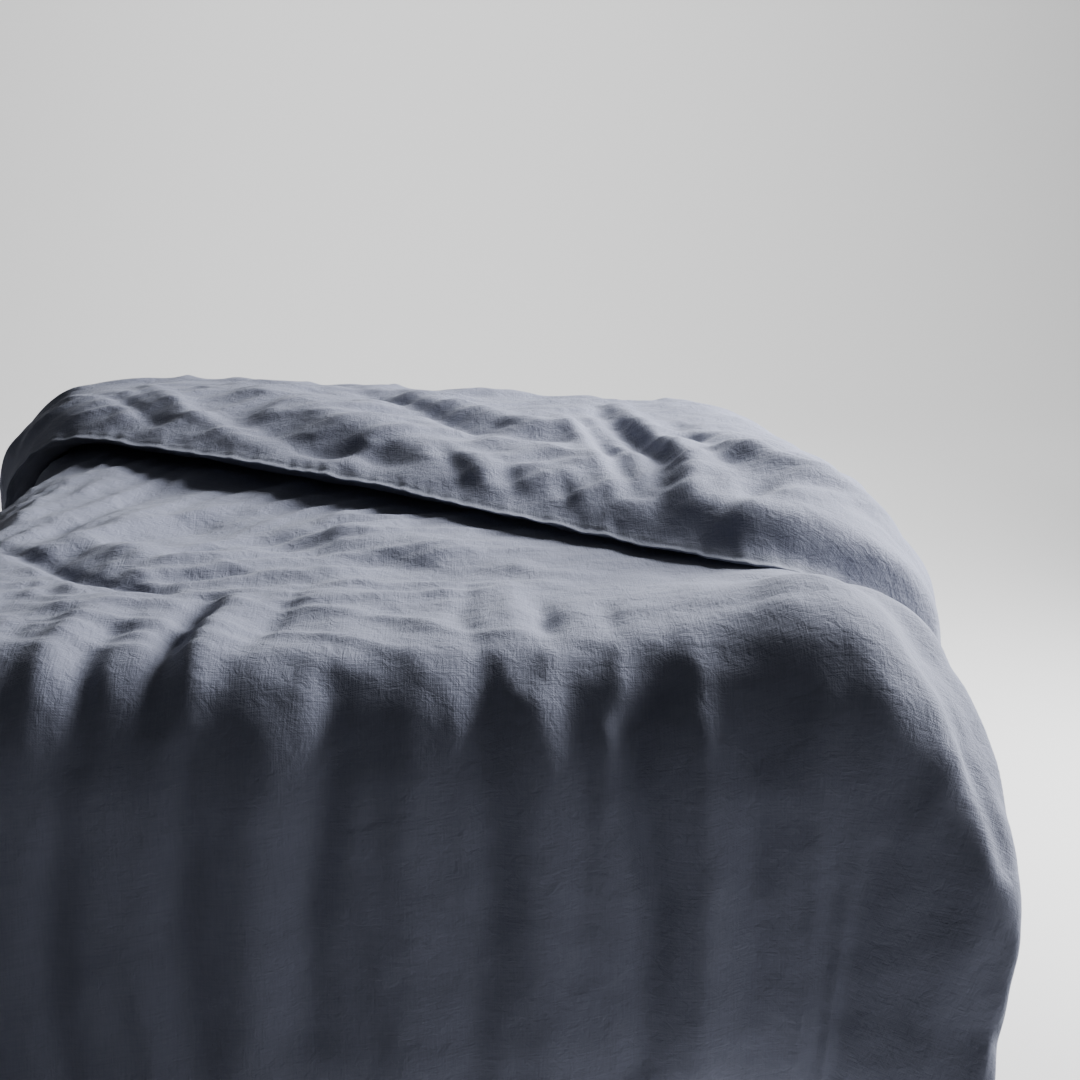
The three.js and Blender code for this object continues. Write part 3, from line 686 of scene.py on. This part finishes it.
def add_node(tree, kind, links=(), **settings):
    """Adds a node. settings are its properties, or in_ and an input's name or number. links are
    (socket, input)."""
    made = tree.nodes.new(kind)
    for name, value in settings.items():
        if name.startswith("in_"):
            key = name[3:].replace("_", " ")
            made.inputs[int(key) if key.isdigit() else key].default_value = value
        else:
            setattr(made, name, value)
    for socket, target in links:
        tree.links.new(socket, made.inputs[target])
    return made


def new_material(name):
    """A new material, with its node tree and its shader."""
    made = bpy.data.materials.new(name)
    made.use_nodes = True
    return made, made.node_tree, made.node_tree.nodes["Principled BSDF"]


def put(shader, **values):
    """Sets the shader's own inputs."""
    for name, value in values.items():
        shader.inputs[name.replace("_", " ")].default_value = value


THREAD = 0.0011  # the real threads are 0.3 mm apart, too fine to see; drawn 1.1 mm apart
SLUB_WIDTH, SLUB_LENGTH = 0.0016, 0.030


def washed_cotton(name, light, dark):
    """Plain-woven cotton, garment-washed: matt, slightly mottled, softly crinkled all over."""
    made, tree, shader = new_material(name)
    cloth_map = add_node(tree, "ShaderNodeUVMap", uv_map="cloth").outputs["UV"]
    place = add_node(tree, "ShaderNodeTexCoord").outputs["Object"]
    slubs = []
    for scale in ((1 / SLUB_WIDTH, 1 / SLUB_LENGTH, 1), (1 / SLUB_LENGTH, 1 / SLUB_WIDTH, 1)):
        laid = add_node(tree, "ShaderNodeMapping", [(cloth_map, "Vector")], in_Scale=scale)
        slubs.append(add_node(tree, "ShaderNodeTexNoise", [(laid.outputs[0], "Vector")],
                              in_Scale=1.0, in_Detail=2.0).outputs["Fac"])
    slub = add_node(tree, "ShaderNodeMath", [(slubs[0], 0), (slubs[1], 1)],
                    operation="ADD").outputs[0]
    weave = add_node(tree, "ShaderNodeTexBrick", [(cloth_map, "Vector")], offset=0.5,
                     in_Scale=1.0, in_Brick_Width=2 * THREAD, in_Row_Height=THREAD,
                     in_Mortar_Size=THREAD * 0.22, in_Mortar_Smooth=1.0,
                     in_Color1=(1, 1, 1, 1), in_Color2=(0.82, 0.82, 0.82, 1),
                     in_Mortar=(0.35, 0.35, 0.35, 1))
    crinkle = add_node(
        tree, "ShaderNodeTexNoise", [(place, "Vector")],
        in_Scale=70.0, in_Detail=5.0, in_Roughness=0.62, in_Distortion=0.6).outputs["Fac"]
    creases = add_node(
        tree, "ShaderNodeTexNoise", [(place, "Vector")], noise_type="RIDGED_MULTIFRACTAL",
        in_Scale=22.0, in_Detail=3.0, in_Roughness=0.5, in_Distortion=0.8).outputs["Fac"]
    mottle = add_node(tree, "ShaderNodeTexNoise", [(place, "Vector")],
                      in_Scale=9.0, in_Detail=4.0, in_Roughness=0.6).outputs["Fac"]
    faded = add_node(tree, "ShaderNodeMath", [(mottle, 0), (slub, 1)], operation="ADD").outputs[0]
    spread = add_node(tree, "ShaderNodeMapRange", [(faded, "Value")],
                      in_From_Min=1.1, in_From_Max=1.9)
    colour = add_node(tree, "ShaderNodeMix", [(spread.outputs[0], "Factor")], data_type="RGBA")
    colour.inputs[6].default_value = linear(dark)
    colour.inputs[7].default_value = linear(light)
    tree.links.new(colour.outputs[2], shader.inputs["Base Color"])
    rough = add_node(tree, "ShaderNodeMapRange", [(slub, "Value")],
                     in_From_Min=0.7, in_From_Max=1.3, in_To_Min=0.82, in_To_Max=0.95)
    tree.links.new(rough.outputs[0], shader.inputs["Roughness"])
    bump = None
    layers = [(creases, 0.0012), (crinkle, 0.0022), (slub, 0.0004),
              (weave.outputs["Fac"], -0.00016)]
    for height, depth in layers:
        links = [(height, "Height")] + ([(bump, "Normal")] if bump else [])
        bump = add_node(tree, "ShaderNodeBump", links, in_Strength=1.0 if depth > 0 else 0.6,
                        in_Distance=abs(depth), invert=depth < 0).outputs[0]
    tree.links.new(bump, shader.inputs["Normal"])
    put(shader, IOR=1.5, Specular_IOR_Level=0.3, Sheen_Weight=0.25, Sheen_Roughness=0.45,
        Sheen_Tint=linear("#c9cedb"))
    return made


# Dyed in the piece and washed soft: a dull grey-blue with paler slubs, no gloss, and a faint
# light bloom where it turns away.
cover_cloth = washed_cotton("washed blue-grey cotton, plain weave", "#83879a", "#767a8d")
# The same cloth sewn double, so the seam holds the dye a shade deeper.
edge_cloth = washed_cotton("washed blue-grey cotton, sewn double", "#7e8294", "#707483")
for piece in PADS:
    piece.data.materials.append(cover_cloth)
for piece in EDGES:
    piece.data.materials.append(edge_cloth)

# Turned resin, tumbled to a polish: cloudy swirls of two greys under a small, sharp highlight.
button_resin, tree, shader = new_material("polyester button resin, turned and polished")
place = add_node(tree, "ShaderNodeTexCoord").outputs["Object"]
swirl = add_node(tree, "ShaderNodeTexNoise", [(place, "Vector")], in_Scale=260.0, in_Detail=3.0,
                 in_Distortion=1.5).outputs["Fac"]
shade = add_node(tree, "ShaderNodeMix", [(swirl, "Factor")], data_type="RGBA")
shade.inputs[6].default_value = linear("#5d6370")
shade.inputs[7].default_value = linear("#8b91a0")
tree.links.new(shade.outputs[2], shader.inputs["Base Color"])
put(shader, IOR=1.56, Roughness=0.22)
for name in nodes_named("button"):
    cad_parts[name].data.materials.clear()
    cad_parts[name].data.materials.append(button_resin)


def plain_satin(name, shade, gap, shine):
    """Close-woven polyester: even, with a soft shine from its long straight threads."""
    made, tree, shader = new_material(name)
    place = add_node(tree, "ShaderNodeTexCoord").outputs["Object"]
    ribs = add_node(tree, "ShaderNodeTexWave", [(place, "Vector")], bands_direction="Y",
                    in_Scale=1 / gap / 3, in_Distortion=0.6, in_Detail=2.0).outputs["Fac"]
    bump = add_node(tree, "ShaderNodeBump", [(ribs, "Height")], in_Strength=0.5, in_Distance=0.0002)
    tree.links.new(bump.outputs[0], shader.inputs["Normal"])
    shades = add_node(tree, "ShaderNodeMix", [(ribs, "Factor")], data_type="RGBA")
    shades.inputs[6].default_value = linear(shade)
    shades.inputs[7].default_value = tuple(min(1, c * 1.18) for c in linear(shade)[:3]) + (1,)
    tree.links.new(shades.outputs[2], shader.inputs["Base Color"])
    put(shader, IOR=1.53, Roughness=shine, Sheen_Weight=0.1)
    return made


# Woven ribbon: off-white, fine ribs, a soft sheen along the curl.
label_satin = plain_satin("white polyester satin ribbon", "#d9d7d2", 0.0012, 0.42)
care_label.data.materials.append(label_satin)
# Two plies twisted: a ropy grey line, hardly shinier than the cloth.
sewing_thread = plain_satin("twisted polyester sewing thread", "#6d7280", 0.0008, 0.5)
for thread in threads:
    thread.data.materials.append(sewing_thread)

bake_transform(fold_pad, "spread_part", "turned_back_part",
         start=(0, 0, 0.006), end=(0, 0, 2 * FOLD_HEIGHT - 0.018))
for piece in [*side_pads, *turned_edges, *head_ends]:
    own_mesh(piece)

# Camera, floor and light.
camera = bpy.data.cameras.new("camera")
camera.lens = 60.43
camera.sensor_width = 36
viewer = bpy.data.objects.new("camera", camera)
bpy.context.scene.collection.objects.link(viewer)
viewer.location = (0.10, -2.02, 0.546)
viewer.rotation_euler = (math.radians(90 - 14.533), 0, math.radians(-2.2626))
bpy.context.scene.camera = viewer

FLOOR_Z, FLOOR_REACH = -0.62, 7
sweep = bmesh.new()
bmesh.ops.create_grid(sweep, x_segments=2, y_segments=2, size=FLOOR_REACH)
bmesh.ops.translate(sweep, vec=(0, 0, FLOOR_Z), verts=sweep.verts)
far_edge = [e for e in sweep.edges if all(v.co.y > FLOOR_REACH - 0.1 for v in e.verts)]
risen = bmesh.ops.extrude_edge_only(sweep, edges=far_edge)["geom"]
bmesh.ops.translate(sweep, vec=(0, 0, FLOOR_REACH),
                    verts=[g for g in risen if isinstance(g, bmesh.types.BMVert)])
foot_of_wall = [e for e in sweep.edges if len(e.link_faces) == 2
                and all(v.co.y > FLOOR_REACH - 0.1 for v in e.verts)]
bmesh.ops.bevel(sweep, geom=foot_of_wall, offset=3, segments=16, profile=0.5, affect="EDGES",
                material=-1)
floor = as_object("floor", sweep)
paper, tree, shader = new_material("pale floor")
put(shader, Base_Color=linear("#cecece"), Roughness=0.9)
floor.data.materials.append(paper)

world = bpy.data.worlds.new("studio")
bpy.context.scene.world = world
world.use_nodes = True
world.node_tree.nodes["Background"].inputs["Color"].default_value = (0.95, 0.97, 1, 1)
world.node_tree.nodes["Background"].inputs["Strength"].default_value = 0.07


def soft_light(name, place, aim, size, power):
    """A square lamp at place, turned to aim."""
    lamp = bpy.data.lights.new(name, "AREA")
    lamp.energy = power
    lamp.size = size
    holder = bpy.data.objects.new(name, lamp)
    bpy.context.scene.collection.objects.link(holder)
    holder.location = place
    holder.rotation_euler = (Vector(aim) - Vector(place)).to_track_quat("-Z", "Y").to_euler()


# A window on the right gives the light; the foot of the bed lies in its own shade.
soft_light("window", (1.80, 0.60, 0.90), (0.1, 0.0, 0.0), 1.0, 185)
soft_light("low fill", (2.6, -1.5, 0.15), (0.2, -0.6, -0.2), 0.9, 2)
soft_light("backdrop light", (0, 2.2, 3.2), (0, 7, 1.0), 3, 500)
